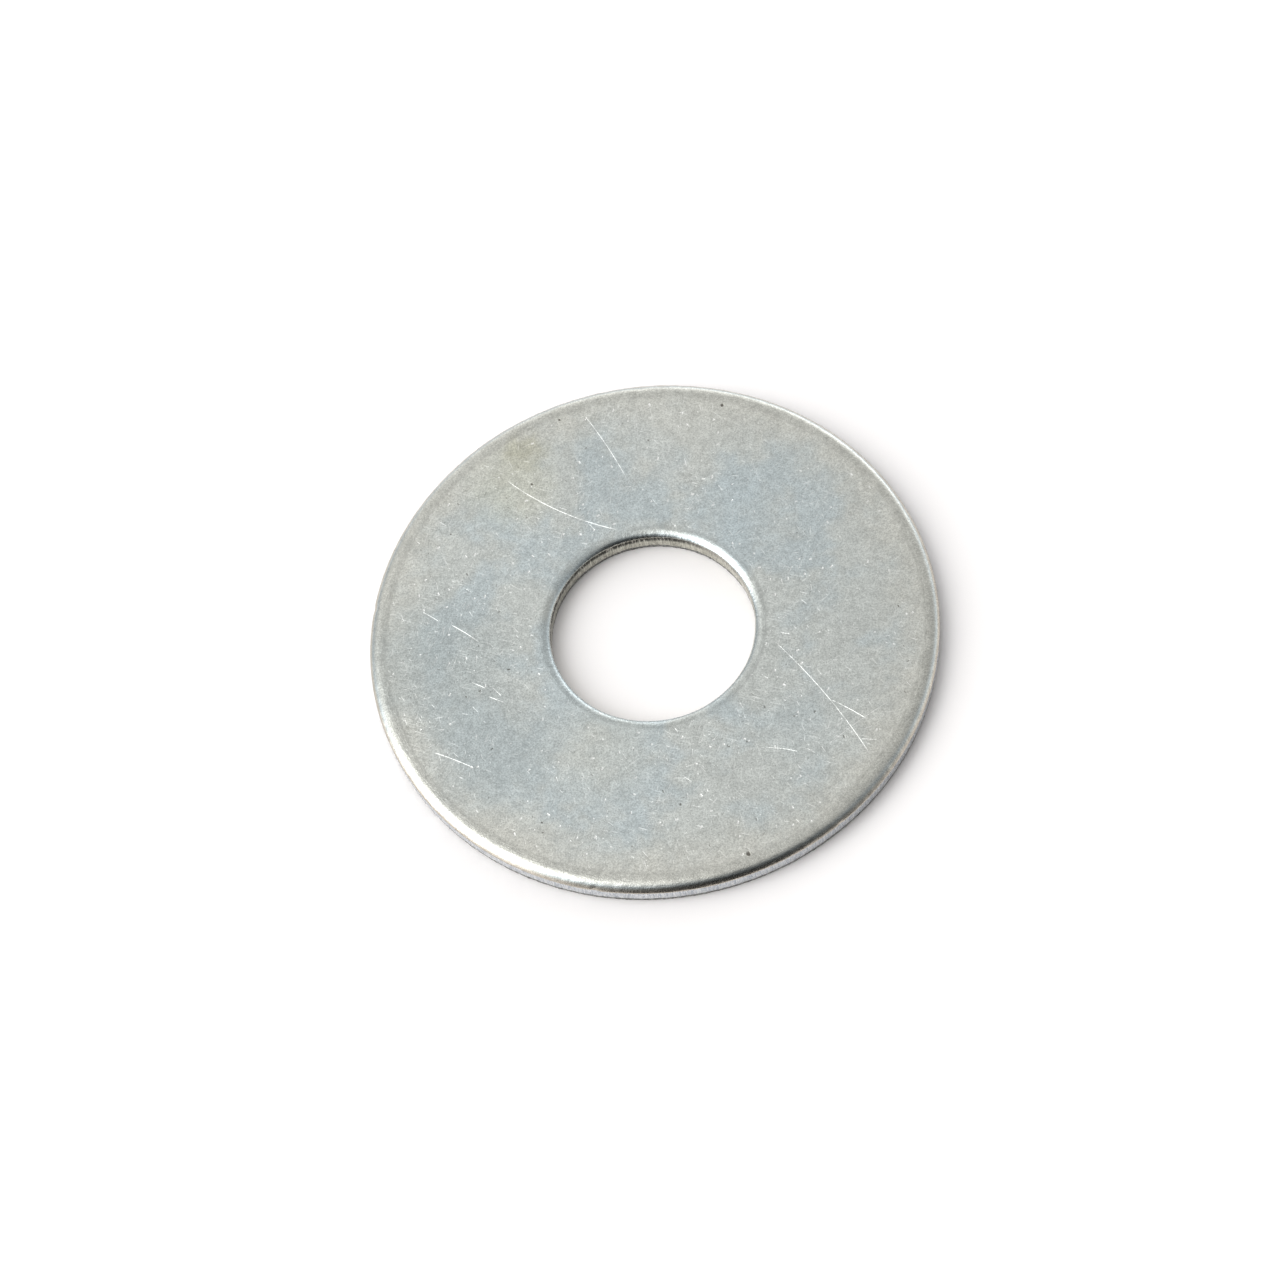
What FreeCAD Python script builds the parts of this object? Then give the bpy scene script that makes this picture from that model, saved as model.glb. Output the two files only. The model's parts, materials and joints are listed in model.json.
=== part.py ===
import FreeCAD, Part

import math
import os

import Sketcher

# Large-diameter flat washer of the fender or penny pattern, for a 1/2 in or M12 bolt, blanked
# and pierced from steel strip and then zinc plated.  It is one solid piece.
#
# Frame: millimetres, +Z up.  The origin is the centre of the bore on the underside, so the
# washer lies on Z = 0 with its rolled side, the side that the punches entered, facing up.

NODE = "washer"

SIZES = [
    ("outer_diameter", 38.1, "across the burnished outer wall, 1-1/2 in"),
    ("bore_diameter", 13.7, "across the burnished bore wall, 17/32 in and within its tolerance"),
    ("thickness", 1.6, "of the strip, 1/16 in nominal"),
    ("outer_roll_width", 0.75, "outer die roll, from the wall in along the top face"),
    ("bore_roll_width", 0.55, "bore die roll, from the wall out along the top face"),
    ("roll_depth", 0.44, "both die rolls, from the top face down the wall"),
    ("break_height", 0.33, "fracture zone, from the underside up the wall"),
    ("break_taper", 0.04, "how far the fracture zone leans into the metal"),
    ("edge_radius", 0.06, "rounding of both bottom edges from barrel deburring"),
    ("overcut", 0.5, "how far a cutting profile runs past the wall"),
]

# Sketcher's numbers for the points of a geometry and for the sketch's own origin.
START, END, MIDDLE = 1, 2, 3
ORIGIN = -1


def make_sheet(doc):
    sheet = doc.addObject("Spreadsheet::Sheet", "sizes")
    for row, (alias, value, note) in enumerate(SIZES, start=1):
        sheet.set(f"A{row}", alias)
        sheet.set(f"B{row}", str(value))
        sheet.set(f"C{row}", note)
        sheet.setAlias(f"B{row}", alias)
    doc.recompute()


def add_sketch(body, name, role):
    """An empty sketch on the body's own origin plane that has this role."""
    plane = next(p for p in body.Origin.OriginFeatures if p.Role == role)
    sketch = body.newObject("Sketcher::SketchObject", name)
    sketch.AttachmentSupport = [(plane, "")]
    sketch.MapMode = "FlatFace"
    return sketch


def dimension(sketch, name, formula, kind, *where):
    """Adds a driving dimension and binds it to a formula of the sheet's cells."""
    value = float(sketch.evalExpression(formula))
    index = sketch.addConstraint(Sketcher.Constraint(kind, *where, value))
    sketch.renameConstraint(index, name)
    sketch.setExpression(f"Constraints.{name}", formula)


def join(sketch, *points):
    sketch.addConstraint(Sketcher.Constraint("Coincident", *points))


def circle_sketch(body, name, diameter):
    """A circle about the washer's axis, drawn on the underside plane."""
    sketch = add_sketch(body, name, "XY_Plane")
    radius = float(sketch.evalExpression(diameter)) / 2
    circle = sketch.addGeometry(Part.Circle(FreeCAD.Vector(), FreeCAD.Vector(0, 0, 1), radius))
    join(sketch, circle, MIDDLE, ORIGIN, START)
    dimension(sketch, "across", diameter, "Diameter", circle)
    return sketch


def open_section(body, name, face_point, wall_point, outside):
    """Three sides of the section of what is missing where a wall meets a face.

    The sketch lies in the XZ plane.  face_point is where the face ends and wall_point where
    the wall starts, each as two formulas, reach from the axis and height.  The three sides go
    from the wall point straight out to reach outside, along to the face's height and back to
    the face point, so the side along the metal is left to close.
    """
    sketch = add_sketch(body, name, "XZ_Plane")
    face_reach, face_height = (float(sketch.evalExpression(f)) for f in face_point)
    wall_reach, wall_height = (float(sketch.evalExpression(f)) for f in wall_point)
    far_reach = float(sketch.evalExpression(outside))
    corners = [
        FreeCAD.Vector(wall_reach, wall_height),
        FreeCAD.Vector(far_reach, wall_height),
        FreeCAD.Vector(far_reach, face_height),
        FreeCAD.Vector(face_reach, face_height),
    ]
    out, along, back = (
        sketch.addGeometry(Part.LineSegment(*ends)) for ends in zip(corners, corners[1:])
    )
    join(sketch, out, END, along, START)
    join(sketch, along, END, back, START)
    sketch.addConstraint(Sketcher.Constraint("Horizontal", out))
    sketch.addConstraint(Sketcher.Constraint("Vertical", along))
    sketch.addConstraint(Sketcher.Constraint("Horizontal", back))
    dimension(sketch, "outside", outside, "DistanceX", ORIGIN, START, along, START)
    dimension(sketch, "wall_reach", wall_point[0], "DistanceX", ORIGIN, START, out, START)
    dimension(sketch, "wall_height", wall_point[1], "DistanceY", ORIGIN, START, out, START)
    dimension(sketch, "face_reach", face_point[0], "DistanceX", ORIGIN, START, back, END)
    dimension(sketch, "face_height", face_point[1], "DistanceY", ORIGIN, START, back, END)
    return sketch, corners, out, back


def roll_section(body, name, face_reach, wall_reach, outside):
    """Die roll: an arc that leaves the top face level and meets the wall at a blunt corner."""
    top = "sizes.thickness"
    shoulder = "sizes.thickness - sizes.roll_depth"
    sketch, corners, out, back = open_section(
        body, name, (face_reach, top), (wall_reach, shoulder), outside
    )
    wall, face = corners[0], corners[-1]
    width = wall.x - face.x
    depth = face.y - wall.y
    radius = (width**2 + depth**2) / (2 * depth)
    centre = FreeCAD.Vector(face.x, face.y - radius)
    crown = math.pi / 2
    wall_angle = crown - math.asin(width / radius)
    circle = Part.Circle(centre, FreeCAD.Vector(0, 0, 1), radius)
    arc = sketch.addGeometry(Part.ArcOfCircle(circle, *sorted((crown, wall_angle))))
    arc_at_wall, arc_at_face = (START, END) if wall_angle < crown else (END, START)
    join(sketch, arc, arc_at_wall, out, START)
    join(sketch, arc, arc_at_face, back, END)
    sketch.addConstraint(Sketcher.Constraint("Vertical", arc, MIDDLE, back, END))
    return sketch


def break_section(body, name, face_reach, wall_reach, outside):
    """Fracture zone: a straight lean from the wall to the underside."""
    sketch, corners, out, back = open_section(
        body, name, (face_reach, "0"), (wall_reach, "sizes.break_height"), outside
    )
    lean = sketch.addGeometry(Part.LineSegment(corners[-1], corners[0]))
    join(sketch, lean, START, back, END)
    join(sketch, lean, END, out, START)
    return sketch


def cut_down(body, feature):
    """Recomputes and checks that this cutting feature took metal off its base."""
    body.Document.recompute()
    removed = feature.BaseFeature.Shape.Volume - feature.Shape.Volume
    if removed <= 0:
        raise RuntimeError(f"{feature.Name} removed nothing")
    print(f"{feature.Name}: {removed:.3f} mm3 removed")


def add_groove(body, name, sketch):
    """Turns a section once round the washer's axis and cuts it away."""
    groove = body.newObject("PartDesign::Groove", name)
    groove.Profile = sketch
    groove.ReferenceAxis = (sketch, ["V_Axis"])
    groove.Angle = 360
    cut_down(body, groove)


def blank_disc(body):
    """The disc that the blanking punch pushes out of the strip."""
    blank = body.newObject("PartDesign::Pad", "blank")
    blank.Profile = circle_sketch(body, "blank_outline", "sizes.outer_diameter")
    blank.setExpression("Length", "sizes.thickness")
    body.Document.recompute()


def pierce_bore(body):
    bore = body.newObject("PartDesign::Pocket", "bore")
    bore.Profile = circle_sketch(body, "bore_outline", "sizes.bore_diameter")
    bore.Type = "ThroughAll"
    bore.Reversed = True
    cut_down(body, bore)


def shape_outer_edge(body):
    wall = "sizes.outer_diameter / 2"
    outside = f"{wall} + sizes.overcut"
    roll = roll_section(body, "outer_roll_section", f"{wall} - sizes.outer_roll_width", wall, outside)
    add_groove(body, "outer_roll", roll)
    taper = break_section(body, "outer_break_section", f"{wall} - sizes.break_taper", wall, outside)
    add_groove(body, "outer_break", taper)


def shape_bore_edge(body):
    wall = "sizes.bore_diameter / 2"
    outside = f"{wall} - sizes.overcut"
    roll = roll_section(body, "bore_roll_section", f"{wall} + sizes.bore_roll_width", wall, outside)
    add_groove(body, "bore_roll", roll)
    taper = break_section(body, "bore_break_section", f"{wall} + sizes.break_taper", wall, outside)
    add_groove(body, "bore_break", taper)


def round_bottom_edges(body):
    """The two circular edges round the underside, one at each wall."""
    base = body.Tip
    flat = FreeCAD.BoundBox(-1e3, -1e3, -1e-6, 1e3, 1e3, 1e-6)
    edges = [
        f"Edge{number}"
        for number, edge in enumerate(base.Shape.Edges, start=1)
        if flat.isInside(edge.BoundBox)
    ]
    fillet = body.newObject("PartDesign::Fillet", "deburred_edges")
    fillet.Base = (base, edges)
    fillet.setExpression("Radius", "sizes.edge_radius")
    cut_down(body, fillet)


def make_washer(doc):
    body = doc.addObject("PartDesign::Body", NODE)
    body.Label = NODE
    blank_disc(body)
    pierce_bore(body)
    shape_outer_edge(body)
    shape_bore_edge(body)
    round_bottom_edges(body)
    body.Placement = FreeCAD.Placement()
    doc.recompute()
    return body


def check(doc, body):
    for item in doc.Objects:
        failed = {"Invalid", "Error"} & set(item.State)
        if failed:
            raise RuntimeError(f"{item.Name}: {sorted(failed)}")
        if item.isDerivedFrom("Sketcher::SketchObject") and not item.FullyConstrained:
            raise RuntimeError(f"{item.Name} is not fully constrained")
    shape = body.Shape
    if shape.isNull() or not shape.isValid() or len(shape.Solids) != 1:
        raise RuntimeError(f"{body.Label} is not one valid solid")


doc = FreeCAD.newDocument("flat_washer")
make_sheet(doc)
washer = make_washer(doc)
check(doc, washer)
os.makedirs("parts", exist_ok=True)
washer.Shape.exportStep(f"parts/{washer.Label}.step")
box = washer.Shape.optimalBoundingBox(False)
print(f"{washer.Label}: {box.XLength:.3f} x {box.YLength:.3f} x {box.ZLength:.3f} mm")
print(f"volume {washer.Shape.Volume:.2f} mm3")
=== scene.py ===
import json
import math
from types import SimpleNamespace

import bmesh
import bpy
from mathutils import Matrix, Vector, noise


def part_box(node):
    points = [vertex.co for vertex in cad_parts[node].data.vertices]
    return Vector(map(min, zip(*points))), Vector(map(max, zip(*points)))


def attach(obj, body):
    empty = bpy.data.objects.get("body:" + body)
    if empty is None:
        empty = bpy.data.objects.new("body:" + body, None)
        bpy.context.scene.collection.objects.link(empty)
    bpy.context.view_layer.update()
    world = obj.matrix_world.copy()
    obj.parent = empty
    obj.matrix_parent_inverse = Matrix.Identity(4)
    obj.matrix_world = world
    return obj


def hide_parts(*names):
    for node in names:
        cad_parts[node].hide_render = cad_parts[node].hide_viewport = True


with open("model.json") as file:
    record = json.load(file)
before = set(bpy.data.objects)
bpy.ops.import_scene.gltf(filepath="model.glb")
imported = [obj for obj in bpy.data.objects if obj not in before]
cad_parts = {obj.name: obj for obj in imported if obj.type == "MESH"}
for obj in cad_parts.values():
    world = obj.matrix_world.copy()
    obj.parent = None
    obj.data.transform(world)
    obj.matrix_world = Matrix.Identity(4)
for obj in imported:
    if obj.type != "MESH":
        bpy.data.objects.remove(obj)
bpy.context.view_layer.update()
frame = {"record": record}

MM = 0.001
NODE = "washer"

# ---------------------------------------------------------------------------------------------
# Sizes, all from the frame
# ---------------------------------------------------------------------------------------------

low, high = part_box(NODE)
bore = next(m for m in frame["record"]["mounts"] if m["name"] == "bore")

OUTER_RADIUS = (high.x - low.x) / 2
BORE_RADIUS = bore["dims"]["r_mm"] * MM
THICKNESS = high.z - low.z
LAND_TOP = bore["pos_m"][2] + bore["dims"]["length_mm"] * MM / 2
LAND_FOOT = bore["pos_m"][2] - bore["dims"]["length_mm"] * MM / 2
ROLL_DEPTH = THICKNESS - LAND_TOP
OUTER_ROLL_WIDTH = 1.0 * MM
BORE_ROLL_WIDTH = 0.6 * MM
BREAK_LEAN = 0.04 * MM
EDGE_ROUND = 0.06 * MM


# ---------------------------------------------------------------------------------------------
# The washer's mesh: one section, turned round the axis, with the irregularities of a pressing
# ---------------------------------------------------------------------------------------------

# Steps round the washer, and rings across each part of its section.
AROUND = 900
FACE_RINGS = 26
UNDER_RINGS = 12
ROLL_RINGS = 12
BREAK_RINGS = 7
EDGE_RINGS = 3

# Zones of the surface, kept on every vertex for the material.  The seam is where a roll meets
# the land below it.
FACE, ROLL, SEAM_ABOVE, SEAM_BELOW, SEAM_END, LAND, TORN = 0.0, 1.0, 1.3, 1.6, 1.8, 2.0, 3.0

# Steps across a roll, as shares of it, and down a land, as shares of its height with the zone.
ROLL_STEPS = [i / ROLL_RINGS for i in range(ROLL_RINGS)] + [0.97, 1.0]
SEAM_START = 0.8
LAND_STEPS = [(0.04, SEAM_BELOW), (0.25, SEAM_END), (0.5, LAND), (0.75, LAND), (0.96, LAND)]

# Unevenness along the rim of a roll's width, its depth and the height of the land's foot:
# strength, waves in each radius and seed of every ripple.
WIDTH_RIPPLES = ((0.16, 3.0, 0.0), (0.04, 30.0, 2.0))
DEPTH_RIPPLES = ((0.14, 2.2, 5.0), (0.06, 42.0, 8.0))
FOOT_RIPPLES = ((0.22, 5.0, 11.0), (0.20, 60.0, 13.0))
SCORE_DEPTH = 0.006 * MM
SCORE_WAVES, SCORE_SEED = 150.0, 17.0
OUTER_SEED, BORE_SEED = 3.7, 41.3
LONG_WAVE_DEPTH, SHORT_WAVE_DEPTH = 0.010 * MM, 0.003 * MM

# Nicks and dents on the rim: angle round the washer in degrees, height, half width along the
# rim, half width up the rim and depth, in millimetres.
RIM_NICKS = [
    (162.0, 1.25, 0.28, 0.20, 0.07),
    (-112.0, 1.05, 0.22, 0.25, 0.06),
    (81.9, 1.45, 0.45, 0.12, 0.05),
    (77.5, 1.40, 0.30, 0.10, 0.05),
    (-61.0, 1.10, 0.16, 0.15, 0.04),
    (-20.0, 1.20, 0.30, 0.12, 0.03),
    (27.0, 1.00, 0.20, 0.20, 0.04),
    (118.0, 0.80, 0.35, 0.15, 0.04),
    (-155.0, 0.70, 0.25, 0.22, 0.04),
]


def ripple(angle, radius, waves, seed):
    """Smooth noise along a circle, about -1 to 1, with this many waves in each radius."""
    at = Vector((math.cos(angle), math.sin(angle), 0.0)) * waves
    return noise.noise(at + Vector((0.0, 0.0, seed)))


def outer_roll(share):
    """The outer die roll, from the face (0) to the wall (1): shares of its width and depth."""
    return share, share**3.5


def bore_roll(share):
    """The bore's die roll, which is smaller and rounds into the wall."""
    turn = math.pi / 2 * share
    return math.sin(turn), 1 - math.cos(turn)


def uneven(angle, radius, seed, ripples):
    """A factor near 1 that wanders along a circle."""
    wander = [strength * ripple(angle, radius, waves, seed + shift) for strength, waves, shift in ripples]
    return 1 + sum(wander)


def tear_depth(angle, wall, height, share, seed):
    """How far in the torn metal is at this share of the way down a fracture zone."""
    at = Vector((math.cos(angle) * wall, math.sin(angle) * wall, height)) / MM
    coarse = noise.noise(at * 4.0 + Vector((0, 0, seed)))
    fine = noise.noise(at * 9.0)
    tear = max(0.0, 0.5 + 0.5 * coarse + 0.35 * fine)
    return BREAK_LEAN * (0.4 + share) * tear + BREAK_LEAN * 0.4 * share


def edge_section(angle, wall, side, seed, roll, roll_width):
    """Points from the top face round one wall to the underside, at one angle.

    wall is the wall's radius and side is +1 for the outer wall and -1 for the bore.  Gives
    (radius, height, zone) for each point.
    """
    width = roll_width * uneven(angle, wall, seed, WIDTH_RIPPLES)
    depth = ROLL_DEPTH * uneven(angle, wall, seed, DEPTH_RIPPLES)
    foot = LAND_FOOT * uneven(angle, wall, seed, FOOT_RIPPLES)
    shoulder = THICKNESS - depth
    points = []
    for share in ROLL_STEPS:
        across, down = roll(share)
        zone = SEAM_ABOVE if share > SEAM_START else ROLL
        points.append((wall - side * width * (1 - across), THICKNESS - depth * down, zone))
    scoring = SCORE_DEPTH * abs(ripple(angle, wall, SCORE_WAVES, seed + SCORE_SEED))
    for share, zone in LAND_STEPS:
        points.append((wall - side * scoring, shoulder + (foot - shoulder) * share, zone))
    for i in range(BREAK_RINGS):
        share = i / (BREAK_RINGS - 1)
        height = foot + (EDGE_ROUND - foot) * share
        points.append((wall - side * tear_depth(angle, wall, height, share, seed), height, TORN))
    last = points[-1][0]
    for i in range(1, EDGE_RINGS + 1):
        turn = math.pi / 2 * i / EDGE_RINGS
        inward, height = EDGE_ROUND * (1 - math.cos(turn)), EDGE_ROUND * (1 - math.sin(turn))
        points.append((last - side * inward, height, TORN))
    return points


def nick_depth(angle, height):
    """How far the nicks push the outer wall in at this place."""
    total = 0.0
    for degrees, level, along, up, depth in RIM_NICKS:
        turn = math.remainder(angle - math.radians(degrees), math.tau)
        u = turn * OUTER_RADIUS / (along * MM)
        v = (height - level * MM) / (up * MM)
        total += depth * MM * math.exp(-u * u - v * v)
    return total


def section(angle):
    """The whole closed section at one angle, from the bore's roll round to its foot."""
    outer = edge_section(angle, OUTER_RADIUS, 1, OUTER_SEED, outer_roll, OUTER_ROLL_WIDTH)
    outer = [(radius - nick_depth(angle, height), height, zone) for radius, height, zone in outer]
    inner = edge_section(angle, BORE_RADIUS, -1, BORE_SEED, bore_roll, BORE_ROLL_WIDTH)
    face = []
    start, end = inner[0][0], outer[0][0]
    for i in range(1, FACE_RINGS):
        share = i / FACE_RINGS
        face.append((start + (end - start) * share, THICKNESS, FACE))
    under = []
    start, end = outer[-1][0], inner[-1][0]
    for i in range(1, UNDER_RINGS):
        share = i / UNDER_RINGS
        under.append((start + (end - start) * share, 0.0, FACE))
    return face + outer + under + inner[::-1]


def face_wave(x, y):
    """The slight unevenness of the strip, in metres below its true height."""
    at = Vector((x, y, 0.0)) / MM
    long_wave = noise.noise(at * 0.16 + Vector((0, 0, 7.0)))
    short_wave = noise.noise(at * 0.7 + Vector((0, 0, 3.0)))
    return LONG_WAVE_DEPTH * (0.5 + 0.5 * long_wave) + SHORT_WAVE_DEPTH * (0.5 + 0.5 * short_wave)


def build_washer():
    mesh = bpy.data.meshes.new("washer_plated")
    bm = bmesh.new()
    zone_layer = bm.verts.layers.float.new("zone")
    rings = []
    for step in range(AROUND):
        angle = math.tau * step / AROUND
        ring = []
        for radius, height, zone in section(angle):
            x, y = radius * math.cos(angle), radius * math.sin(angle)
            sink = face_wave(x, y) * (height / THICKNESS) ** 2
            vert = bm.verts.new((x, y, height - sink))
            vert[zone_layer] = zone
            ring.append(vert)
        rings.append(ring)
    for ring, following in zip(rings, rings[1:] + rings[:1]):
        for i in range(len(ring)):
            j = (i + 1) % len(ring)
            bm.faces.new((ring[i], following[i], following[j], ring[j]))
    bmesh.ops.recalc_face_normals(bm, faces=bm.faces)
    for polygon in bm.faces:
        polygon.smooth = True
    bm.to_mesh(mesh)
    bm.free()
    washer = bpy.data.objects.new("washer_plated", mesh)
    bpy.context.collection.objects.link(washer)
    return washer


# ---------------------------------------------------------------------------------------------
# Node helpers
# ---------------------------------------------------------------------------------------------


class Graph:
    """Short ways to add and join the nodes of one tree."""

    def __init__(self, tree):
        self.tree = tree

    def add(self, kind, **settings):
        node = self.tree.nodes.new(kind)
        for name, value in settings.items():
            setattr(node, name, value)
        return node

    def put(self, socket, value):
        if isinstance(value, bpy.types.NodeSocket):
            self.tree.links.new(value, socket)
        else:
            socket.default_value = value

    def math(self, operation, *values, clamp=False):
        node = self.add("ShaderNodeMath", operation=operation, use_clamp=clamp)
        for socket, value in zip(node.inputs, values):
            self.put(socket, value)
        return node.outputs[0]

    def vector(self, operation, *values):
        node = self.add("ShaderNodeVectorMath", operation=operation)
        for socket, value in zip(node.inputs, values):
            self.put(socket, value)
        gives_number = operation in ("LENGTH", "DOT_PRODUCT", "DISTANCE")
        return node.outputs["Value" if gives_number else "Vector"]

    def ramp(self, value, start, end, low=0.0, high=1.0):
        node = self.add("ShaderNodeMapRange", interpolation_type="SMOOTHSTEP")
        for socket, given in zip(node.inputs[:5], (value, start, end, low, high)):
            self.put(socket, given)
        return node.outputs[0]

    def noise(self, vector, scale, detail=2.0, roughness=0.5, distortion=0.0):
        node = self.add("ShaderNodeTexNoise")
        self.put(node.inputs["Vector"], vector)
        node.inputs["Scale"].default_value = scale
        node.inputs["Detail"].default_value = detail
        node.inputs["Roughness"].default_value = roughness
        node.inputs["Distortion"].default_value = distortion
        return node.outputs["Fac"]

    def mix(self, factor, first, second, blend="MIX"):
        node = self.add("ShaderNodeMix", data_type="RGBA", blend_type=blend, clamp_factor=True)
        self.put(node.inputs[0], factor)
        self.put(node.inputs[6], first)
        self.put(node.inputs[7], second)
        return node.outputs[2]

    def group(self, tree, *values):
        node = self.add("ShaderNodeGroup", node_tree=tree)
        for socket, value in zip(node.inputs, values):
            self.put(socket, value)
        return node.outputs[0]


def new_group(name, inputs):
    """A node group with these (name, kind) inputs and one number out."""
    tree = bpy.data.node_groups.new(name, "ShaderNodeTree")
    for label, kind in inputs:
        tree.interface.new_socket(label, in_out="INPUT", socket_type=kind)
    tree.interface.new_socket("Mask", in_out="OUTPUT", socket_type="NodeSocketFloat")
    entry = tree.nodes.new("NodeGroupInput")
    leave = tree.nodes.new("NodeGroupOutput")
    return tree, Graph(tree), entry.outputs, leave.inputs[0]


def scratch_line(g, flat, broken, start, end, bow, width):
    """One scratch: a thin bowed line between two points of the face, broken up by noise."""
    run = Vector(end) - Vector(start)
    along = run / run.length_squared
    across = Vector((-run.y, run.x)) / run.length
    share = g.math("ADD", g.vector("DOT_PRODUCT", flat, (*along, 0)), -along.dot(Vector(start)))
    side = g.math("ADD", g.vector("DOT_PRODUCT", flat, (*across, 0)), -across.dot(Vector(start)))
    rise = g.math("MULTIPLY", share, g.math("SUBTRACT", 1.0, share))
    miss = g.math("ABSOLUTE", g.math("MULTIPLY_ADD", rise, -4 * bow, side))
    ends = g.ramp(rise, 0.0, 0.10)
    return g.math("MULTIPLY", g.math("MULTIPLY", g.ramp(miss, width, 0.0), ends), broken)


def dash_group():
    """Short marks at every angle in some of the cells of a scattered pattern.

    Gives up to 1 on the bright ones and down to -1 on the dark ones.
    """
    tree, g, given, result = new_group(
        "dashes",
        [
            ("Place", "NodeSocketVector"),
            ("Cells", "NodeSocketFloat"),
            ("Length", "NodeSocketFloat"),
            ("Width", "NodeSocketFloat"),
            ("Bright share", "NodeSocketFloat"),
            ("Dark share", "NodeSocketFloat"),
        ],
    )
    place, cells, length, width, bright_share, dark_share = given[:6]
    cell = g.add("ShaderNodeTexVoronoi", voronoi_dimensions="2D", feature="F1")
    g.put(cell.inputs["Scale"], cells)
    g.put(cell.inputs["Vector"], place)
    pick = g.add("ShaderNodeSeparateColor")
    g.put(pick.inputs[0], cell.outputs["Color"])
    offset = g.add("ShaderNodeSeparateXYZ")
    g.put(offset.inputs[0], g.vector("SUBTRACT", place, cell.outputs["Position"]))
    angle = g.math("MULTIPLY", pick.outputs[0], math.pi)
    cosine, sine = g.math("COSINE", angle), g.math("SINE", angle)
    x, y = offset.outputs[0], offset.outputs[1]
    along = g.math("MULTIPLY_ADD", x, cosine, g.math("MULTIPLY", y, sine))
    across = g.math("SUBTRACT", g.math("MULTIPLY", y, cosine), g.math("MULTIPLY", x, sine))
    reach = g.math("MULTIPLY", length, g.math("MULTIPLY_ADD", pick.outputs[2], 0.7, 0.3))
    line = g.ramp(g.math("ABSOLUTE", across), width, 0.0)
    ends = g.ramp(g.math("ABSOLUTE", along), reach, g.math("MULTIPLY", reach, 0.5))
    bright = g.math("LESS_THAN", pick.outputs[1], bright_share)
    dark = g.math("GREATER_THAN", pick.outputs[1], g.math("SUBTRACT", 1.0, dark_share))
    g.put(result, g.math("MULTIPLY", g.math("MULTIPLY", line, ends), g.math("SUBTRACT", bright, dark)))
    return tree


# ---------------------------------------------------------------------------------------------
# Zinc plate
# ---------------------------------------------------------------------------------------------

# Scratches on the top face, in millimetres from the axis: start, end, bow and half width.
SCRATCHES = [
    ((-7.8, 13.6), (-0.6, 7.6), -0.55, 0.045),
    ((-1.6, 17.4), (0.4, 11.6), 0.12, 0.035),
    ((7.5, -2.7), (12.1, -12.7), 0.35, 0.044),
    ((10.3, -8.0), (12.4, -10.0), 0.05, 0.034),
    ((9.4, -11.3), (14.0, -9.1), 0.1, 0.028),
    ((11.7, -11.3), (12.7, -11.6), 0.0, 0.035),
    ((-14.9, 4.7), (-13.9, 3.7), 0.0, 0.045),
    ((-13.2, 3.3), (-11.5, 1.5), 0.05, 0.050),
    ((-15.8, -5.8), (-13.4, -7.5), 0.05, 0.050),
    ((-12.5, -1.3), (-11.6, -2.0), 0.0, 0.045),
    ((-11.2, -2.0), (-10.7, -2.8), 0.0, 0.050),
    ((-11.6, -2.6), (-10.6, -3.3), 0.0, 0.045),
    ((5.5, -10.5), (7.6, -11.3), 0.1, 0.030),
]

# Dark pits and rust specks on the top face: place and radius, in millimetres.
PITS = [
    ((-6.0, 12.7), 0.13),
    ((-3.3, 17.3), 0.12),
    ((3.0, -17.6), 0.20),
    ((7.9, 15.7), 0.16),
    ((-13.0, -2.3), 0.10),
    ((16.2, -2.4), 0.08),
    ((2.4, 14.2), 0.07),
    ((-9.6, -12.4), 0.08),
]

# Broad tints in the passivation, and painted shade: place, radius in millimetres and colour. The two dark
# patches at (-14.5, 0.5) and (-12.0, -6.5) are painted shade that darkens the left side of the face.
STAINS_AND_SHADE = [
    ((7.3, 7.0), 4.6, (0.51, 0.566, 0.582, 1)),
    ((-14.5, 0.5), 7.5, (0.43, 0.468, 0.468, 1)),
    ((-12.0, -6.5), 6.0, (0.45, 0.485, 0.483, 1)),
    ((4.0, 15.0), 6.0, (0.60, 0.605, 0.57, 1)),
    ((-5.0, -8.5), 5.0, (0.565, 0.578, 0.545, 1)),
    ((8.0, -9.5), 4.5, (0.53, 0.56, 0.55, 1)),
    ((-7.4, 12.8), 4.2, (0.575, 0.575, 0.50, 1)),
    ((-5.9, 15.4), 1.9, (0.50, 0.49, 0.40, 1)),
]

# Colours of the plate, of its marks, of the walls and of the painted shade in the bore's seam.
BLUE_GREY = (0.51, 0.553, 0.557, 1)
NEUTRAL = (0.55, 0.570, 0.55, 1)
WARM = (0.578, 0.576, 0.535, 1)
PIT_COLOUR = (0.10, 0.09, 0.075, 1)
BRIGHT = (0.95, 0.95, 0.93, 1)
ROLL_BLUE = (0.48, 0.55, 0.59, 1)
ROLL_BROWN = (0.60, 0.53, 0.45, 1)
LAND_DARK = (0.52, 0.55, 0.59, 1)
LAND_LIGHT = (0.80, 0.81, 0.82, 1)
BORE_DARK = (0.46, 0.45, 0.40, 1)
BORE_LIGHT = (0.74, 0.73, 0.66, 1)
# Painted shade: the dark line in the seam under the bore's roll.
SEAM_SHADE_COLOUR = (0.07, 0.07, 0.06, 1)
TORN_DARK = (0.20, 0.20, 0.195, 1)
TORN_LIGHT = (0.48, 0.48, 0.46, 1)

# The side of the bore where the painted shade in the seam under its roll is darkest, in degrees from +X.
SEAM_SHADE_AZIMUTH = 115

# Layers of short marks: shift of the pattern, cells per millimetre, length, width, share of
# bright ones, share of dark ones and strength.
DASHES = [
    (31.0, 0.9, 0.16, 0.085, 0.28, 0.08, 1.25),
    (12.0, 2.3, 0.13, 0.050, 0.22, 0.25, 0.55),
    (5.0, 1.1, 0.42, 0.040, 0.50, 0.05, 0.55),
    (0.0, 0.5, 0.95, 0.035, 0.70, 0.00, 0.35),
]
# Hairlines: the angle they run at in degrees, and seed.
BRUSHES = [(-28, 3.0), (62, 8.0)]
BRUSH_STRENGTH = 0.28

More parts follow.
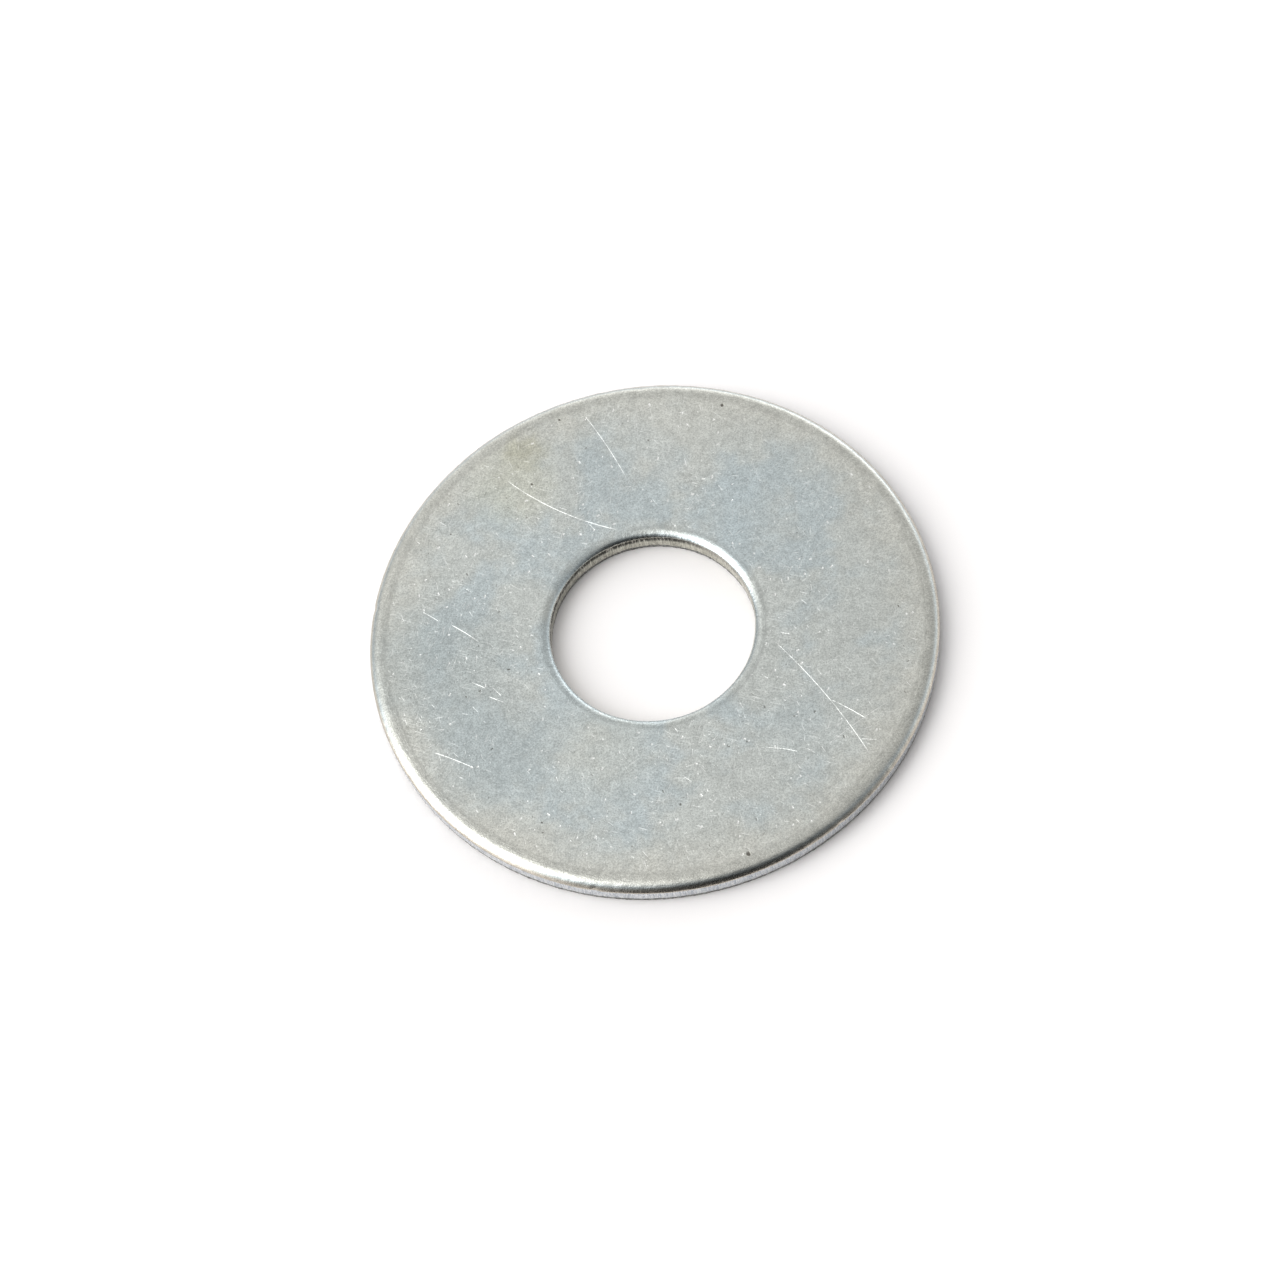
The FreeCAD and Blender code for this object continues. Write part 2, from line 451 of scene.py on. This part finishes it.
RIM_TINT_START, RIM_TINT_FULL = 14.2, 18.4
RIM_TINT_SHARE = 0.9
STAIN_AND_SHADE_SHARE = 0.6
GRAIN_PER_MM = 9.0
MOTTLE_PER_MM = 1.6
GRAIN_SHADE, MOTTLE_SHADE = 0.18, 0.09
MARK_SHARE = 0.68
PIT_SHARE = 0.75
ROLL_BLUE_SHARE, ROLL_BROWN_SHARE = 0.5, 0.6

# Roughness of the face, from the dark grains to the light ones, and what is added elsewhere.
ROUGH_FACE = (0.44, 0.34)
ROUGH_MARKS, ROUGH_PITS, ROUGH_ROLL, ROUGH_LAND, ROUGH_TORN = -0.12, 0.35, -0.14, -0.10, 0.25

# Heights of the relief, in millimetres.
GRAIN_RELIEF, MOTTLE_RELIEF = 0.007, 0.008
MARK_RELIEF, PIT_RELIEF = -0.010, -0.030
WRINKLE_RELIEF, ROLL_SCORE_RELIEF = 0.016, 0.006
LAND_SCORE_RELIEF, TORN_RELIEF = 0.012, 0.090


def surface_places(g):
    """Positions in millimetres, and masks of the top side and of each zone of the surface."""
    coordinates = g.add("ShaderNodeTexCoord")
    place = g.vector("SCALE", coordinates.outputs["Object"])
    place.node.inputs["Scale"].default_value = 1 / MM
    flat = g.vector("MULTIPLY", place, (1, 1, 0))
    height = g.vector("DOT_PRODUCT", place, (0, 0, 1))
    zone = g.add("ShaderNodeAttribute", attribute_name="zone").outputs["Fac"]
    return SimpleNamespace(
        place=place,
        flat=flat,
        radius=g.vector("LENGTH", flat),
        height=height,
        upper=g.ramp(height, 1.0, 1.3),
        in_face=g.ramp(zone, 0.9, 0.1),
        in_roll=g.math("MULTIPLY", g.ramp(zone, 0.2, 0.9), g.ramp(zone, 1.7, 1.2)),
        in_seam=g.math("MULTIPLY", g.ramp(zone, 1.02, SEAM_ABOVE), g.ramp(zone, 1.95, SEAM_BELOW)),
        in_land=g.math("MULTIPLY", g.ramp(zone, SEAM_ABOVE, 1.7), g.ramp(zone, 2.75, 2.3)),
        torn=g.ramp(zone, 2.3, 2.9),
    )


def tints_and_painted_shade(g, at):
    """The plate's colour: blue-grey and neutral patches, warmer towards the rim, with broad tints and
    painted shade that darkens the left side of the face.
    """
    colour = g.mix(g.ramp(g.noise(at.place, 0.22, 3.0, 0.55), 0.42, 0.60), BLUE_GREY, NEUTRAL)
    ragged = g.math("MULTIPLY_ADD", g.noise(at.place, 0.5, 4.0, 0.6), 3.2, -1.6)
    rim = g.ramp(g.math("ADD", at.radius, ragged), RIM_TINT_START, RIM_TINT_FULL)
    colour = g.mix(g.math("MULTIPLY", rim, RIM_TINT_SHARE), colour, WARM)
    # Tints of the plate, and two dark patches on the left that are painted shade.
    for (x, y), reach, tint in STAINS_AND_SHADE:
        away = g.vector("DISTANCE", at.flat, (x, y, 0))
        near = g.ramp(g.math("ADD", away, ragged), reach, reach * 0.2)
        share = g.math("MULTIPLY", g.math("MULTIPLY", near, at.upper), STAIN_AND_SHADE_SHARE)
        colour = g.mix(share, colour, tint)
    return colour


def brushed(g, place, degrees, seed):
    """Hairlines all running one way, in patches."""
    turn = math.radians(degrees)
    along = g.vector("DOT_PRODUCT", place, (math.cos(turn), math.sin(turn), 0))
    across = g.vector("DOT_PRODUCT", place, (-math.sin(turn), math.cos(turn), 0))
    stretched = g.add("ShaderNodeCombineXYZ")
    g.put(stretched.inputs[0], g.math("MULTIPLY", along, 0.9))
    g.put(stretched.inputs[1], g.math("MULTIPLY", across, 11.0))
    stretched.inputs[2].default_value = seed
    lines = g.ramp(g.noise(stretched.outputs[0], 1.0, 2.0, 0.5, 0.3), 0.57, 0.70)
    patch = g.ramp(g.noise(g.vector("ADD", place, (seed, 0, 0)), 0.28, 2.0), 0.42, 0.58)
    return g.math("MULTIPLY", lines, patch)


def scattered_marks(g, at):
    """Hairlines and short marks on the faces: up to 1 where bright, below 0 where dark."""
    first, second = [brushed(g, at.place, degrees, seed) for degrees, seed in BRUSHES]
    total = g.math("MULTIPLY", g.math("MAXIMUM", first, second), BRUSH_STRENGTH)
    dashes = dash_group()
    for shift, *settings, strength in DASHES:
        mark = g.group(dashes, g.vector("ADD", at.flat, (shift, 2 * shift, 0)), *settings)
        total = g.math("MULTIPLY_ADD", mark, strength, total)
    crowding = g.ramp(g.noise(at.place, 0.3, 2.0), 0.35, 0.65, 0.7, 1.4)
    return g.math("MULTIPLY", g.math("MULTIPLY", total, crowding), at.in_face)


def placed_scratches(g, at):
    """The scratches in SCRATCHES, on the top side only."""
    broken = g.ramp(g.noise(at.place, 1.6, 3.0), 0.34, 0.54, 0.5, 1.0)
    total = 0.0
    for scratch in SCRATCHES:
        total = g.math("MAXIMUM", total, scratch_line(g, at.flat, broken, *scratch))
    return g.math("MULTIPLY", total, at.upper)


def pits(g, at, scattered):
    """The pits in PITS, the dark ones among the short marks, and a sprinkling of others."""
    ragged = g.math("MULTIPLY_ADD", g.noise(at.place, 5.0, 2.0), 0.16, -0.08)
    placed = 0.0
    for (x, y), reach in PITS:
        away = g.math("ADD", g.vector("DISTANCE", at.flat, (x, y, 0)), ragged)
        placed = g.math("MAXIMUM", placed, g.ramp(away, reach, reach * 0.4))
    dark_marks = g.math("MULTIPLY", scattered, -0.55)
    total = g.math("MAXIMUM", g.math("MULTIPLY", placed, at.upper), dark_marks)
    total = g.math("MAXIMUM", total, g.ramp(g.noise(at.place, 2.6, 4.0, 0.8), 0.715, 0.775))
    return g.math("MULTIPLY", total, PIT_SHARE)


def wall_colours(g, at, colour, score):
    """The rolls, the painted shade in the seam below the bore's roll, the lands and the fracture zones."""
    turned_in = g.math("MULTIPLY", g.ramp(at.height, 1.57, 1.42), at.in_roll)
    for start, full, share, tint in (
        (1.34, 1.44, ROLL_BLUE_SHARE, ROLL_BLUE),
        (1.38, 1.24, ROLL_BROWN_SHARE, ROLL_BROWN),
    ):
        band = g.math("MULTIPLY", turned_in, g.ramp(at.height, start, full))
        colour = g.mix(g.math("MULTIPLY", band, share), colour, tint)
    in_bore = g.ramp(at.radius, 9.0, 8.0)
    dark_land = g.mix(in_bore, LAND_DARK, BORE_DARK)
    light_land = g.mix(in_bore, LAND_LIGHT, BORE_LIGHT)
    land = g.mix(g.ramp(score, 0.35, 0.65), dark_land, light_land)
    colour = g.mix(at.in_land, colour, land)
    # Painted shade: a dark broken line in the seam under the bore's roll, strongest on one side of the bore.
    seam_shade_mask = g.math("MULTIPLY", at.in_seam, g.ramp(score, 0.64, 0.48, 0.2, 1.0))
    seam_shade_side = g.vector("DOT_PRODUCT", at.flat, toward(SEAM_SHADE_AZIMUTH, 0))
    seam_shade_share = g.math("MULTIPLY", g.math("MULTIPLY", seam_shade_mask, in_bore), g.ramp(seam_shade_side, 1.5, 5.0, 0.2, 1.0))
    colour = g.mix(seam_shade_share, colour, SEAM_SHADE_COLOUR)
    torn = g.mix(g.ramp(g.noise(at.place, 8.0, 4.0, 0.8), 0.4, 0.6), TORN_DARK, TORN_LIGHT)
    return g.mix(at.torn, colour, torn)


def roll_wrinkles(g, at):
    """Fine wrinkles that follow the rim."""
    split = g.add("ShaderNodeSeparateXYZ")
    g.put(split.inputs[0], at.place)
    stretched = g.add("ShaderNodeCombineXYZ")
    g.put(stretched.inputs[0], split.outputs[0])
    g.put(stretched.inputs[1], split.outputs[1])
    g.put(stretched.inputs[2], g.math("MULTIPLY", at.radius, 4.0))
    return g.noise(stretched.outputs[0], 1.6, 3.0, 0.6)


def zinc_material():
    material = bpy.data.materials.new("zinc_plate")
    material.use_nodes = True
    tree = material.node_tree
    tree.nodes.clear()
    g = Graph(tree)
    surface = g.add("ShaderNodeBsdfPrincipled")
    output = g.add("ShaderNodeOutputMaterial")
    g.put(output.inputs["Surface"], surface.outputs[0])
    surface.inputs["Metallic"].default_value = 1.0

    at = surface_places(g)
    grain = g.noise(at.place, GRAIN_PER_MM, 2.0, 0.8)
    mottle = g.noise(at.place, MOTTLE_PER_MM, 5.0, 0.75)
    grain_shade = g.ramp(grain, 0.3, 0.7, 1 - GRAIN_SHADE, 1 + GRAIN_SHADE)
    mottle_shade = g.ramp(mottle, 0.3, 0.7, 1 - MOTTLE_SHADE, 1 + MOTTLE_SHADE)
    score = g.noise(g.vector("MULTIPLY", at.place, (1.0, 1.0, 0.12)), 9.0, 3.0, 0.7)
    scattered = scattered_marks(g, at)
    scratches = placed_scratches(g, at)
    marks = g.math("MAXIMUM", g.math("MULTIPLY", scattered, 0.85), scratches, clamp=True)
    pit = pits(g, at, scattered)

    colour = tints_and_painted_shade(g, at)
    colour = g.mix(1.0, colour, g.math("MULTIPLY", grain_shade, mottle_shade), "MULTIPLY")
    colour = g.mix(g.math("MULTIPLY", marks, MARK_SHARE), colour, BRIGHT)
    colour = g.mix(pit, colour, PIT_COLOUR)
    colour = wall_colours(g, at, colour, score)
    g.put(surface.inputs["Base Color"], colour)

    rough = g.ramp(grain, 0.3, 0.7, *ROUGH_FACE)
    for mask, amount in (
        (marks, ROUGH_MARKS),
        (pit, ROUGH_PITS),
        (at.in_roll, ROUGH_ROLL),
        (at.in_land, ROUGH_LAND),
        (at.torn, ROUGH_TORN),
    ):
        rough = g.math("MULTIPLY_ADD", mask, amount, rough)
    g.put(surface.inputs["Roughness"], rough)

    relief = g.math("MULTIPLY", grain, GRAIN_RELIEF)
    for value, mask, amount in (
        (mottle, at.in_face, MOTTLE_RELIEF),
        (marks, at.upper, MARK_RELIEF),
        (pit, 1.0, PIT_RELIEF),
        (roll_wrinkles(g, at), at.in_roll, WRINKLE_RELIEF),
        (score, at.in_land, LAND_SCORE_RELIEF),
        (score, at.in_roll, ROLL_SCORE_RELIEF),
        (g.noise(at.place, 9.0, 4.0, 0.8), at.torn, TORN_RELIEF),
    ):
        relief = g.math("MULTIPLY_ADD", g.math("MULTIPLY", value, mask), amount, relief)
    bump = g.add("ShaderNodeBump")
    bump.inputs["Strength"].default_value = 1.0
    bump.inputs["Distance"].default_value = MM
    g.put(bump.inputs["Height"], relief)
    g.put(surface.inputs["Normal"], bump.outputs[0])
    return material


# ---------------------------------------------------------------------------------------------
# Studio
# ---------------------------------------------------------------------------------------------

# The paper under the washer, its side in metres.
FLOOR_SIZE = 1.6
PAPER = (0.88, 0.865, 0.86, 1)
PAPER_ROUGHNESS = 0.9
PAPER_SPECULAR = 0.2


def toward(azimuth, elevation):
    """The unit vector from the washer to this azimuth, from +X towards +Y, and elevation."""
    a, e = math.radians(azimuth), math.radians(elevation)
    return Vector((math.cos(a) * math.cos(e), math.sin(a) * math.cos(e), math.sin(e)))


# Soft lights round the washer: azimuth and elevation in degrees, tightness and brightness.
GLOWS = [
    (190.0, 21.0, 8.0, 5.0),
    (195.0, 58.0, 12.0, 3.0),
    (150.0, 60.0, 30.0, 0.9),
    (125.0, 68.0, 8.0, 0.25),
    (88.0, 10.0, 2.7, 1.87),
    (345.0, 62.0, 6.0, 0.62),
    (0.0, 0.0, 6.0, 1.5),
    (54.0, 2.0, 15.0, 2.0),
]
BACKDROP = (1.2, 1.2, 1.2, 1)


def light_studio():
    """Soft light from a few directions, dark low down at the front, and a white backdrop."""
    world = bpy.data.worlds.new("studio")
    bpy.context.scene.world = world
    world.use_nodes = True
    tree = world.node_tree
    tree.nodes.clear()
    g = Graph(tree)
    looking = g.add("ShaderNodeTexCoord").outputs["Generated"]
    total = 0.0
    for azimuth, elevation, tightness, brightness in GLOWS:
        facing = g.vector("DOT_PRODUCT", looking, toward(azimuth, elevation))
        fall = g.math("EXPONENT", g.math("MULTIPLY_ADD", facing, tightness, -tightness))
        total = g.math("MULTIPLY_ADD", fall, brightness, total)
    room = g.add("ShaderNodeBackground")
    g.put(room.inputs["Strength"], total)
    backdrop = g.add("ShaderNodeBackground")
    backdrop.inputs["Color"].default_value = BACKDROP
    choice = g.add("ShaderNodeMixShader")
    g.put(choice.inputs[0], g.add("ShaderNodeLightPath").outputs["Is Camera Ray"])
    g.put(choice.inputs[1], room.outputs[0])
    g.put(choice.inputs[2], backdrop.outputs[0])
    output = g.add("ShaderNodeOutputWorld")
    g.put(output.inputs["Surface"], choice.outputs[0])


def build_floor():
    mesh = bpy.data.meshes.new("floor")
    bm = bmesh.new()
    bmesh.ops.create_grid(bm, x_segments=1, y_segments=1, size=FLOOR_SIZE / 2)
    bm.to_mesh(mesh)
    bm.free()
    floor = bpy.data.objects.new("floor", mesh)
    floor.location.z = low.z
    bpy.context.collection.objects.link(floor)
    material = bpy.data.materials.new("paper")
    material.use_nodes = True
    surface = material.node_tree.nodes["Principled BSDF"]
    surface.inputs["Base Color"].default_value = PAPER
    surface.inputs["Roughness"].default_value = PAPER_ROUGHNESS
    surface.inputs["Specular IOR Level"].default_value = PAPER_SPECULAR
    floor.data.materials.append(material)


# ---------------------------------------------------------------------------------------------
# Camera
# ---------------------------------------------------------------------------------------------

# Distance in metres, angles in degrees, lens and sensor in millimetres.
CAMERA_DISTANCE = 0.2083
CAMERA_ELEVATION = 62.06
CAMERA_ROLL = -12.56
CAMERA_AIM = Vector((-0.98 * MM, 0.0, low.z))
CAMERA_LENS = 87.5
SENSOR_WIDTH = 36.0

# Under 1 gives more contrast than the plain curve.
VIEW_GAMMA = 0.8


def make_camera():
    data = bpy.data.cameras.new("camera")
    data.lens = CAMERA_LENS
    data.sensor_width = SENSOR_WIDTH
    data.clip_start = 0.01
    data.clip_end = 10.0
    camera = bpy.data.objects.new("camera", data)
    place = toward(-90, CAMERA_ELEVATION) * CAMERA_DISTANCE
    facing = (place - CAMERA_AIM).to_track_quat("Z", "Y").to_matrix().to_4x4()
    roll = Matrix.Rotation(math.radians(CAMERA_ROLL), 4, "Z")
    camera.matrix_world = Matrix.Translation(place) @ facing @ roll
    bpy.context.collection.objects.link(camera)
    bpy.context.scene.camera = camera


washer = build_washer()
washer.data.materials.append(zinc_material())
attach(washer, "root")
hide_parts(NODE)
build_floor()
light_studio()
make_camera()
view = bpy.context.scene.view_settings
view.view_transform = "Standard"
view.gamma = VIEW_GAMMA
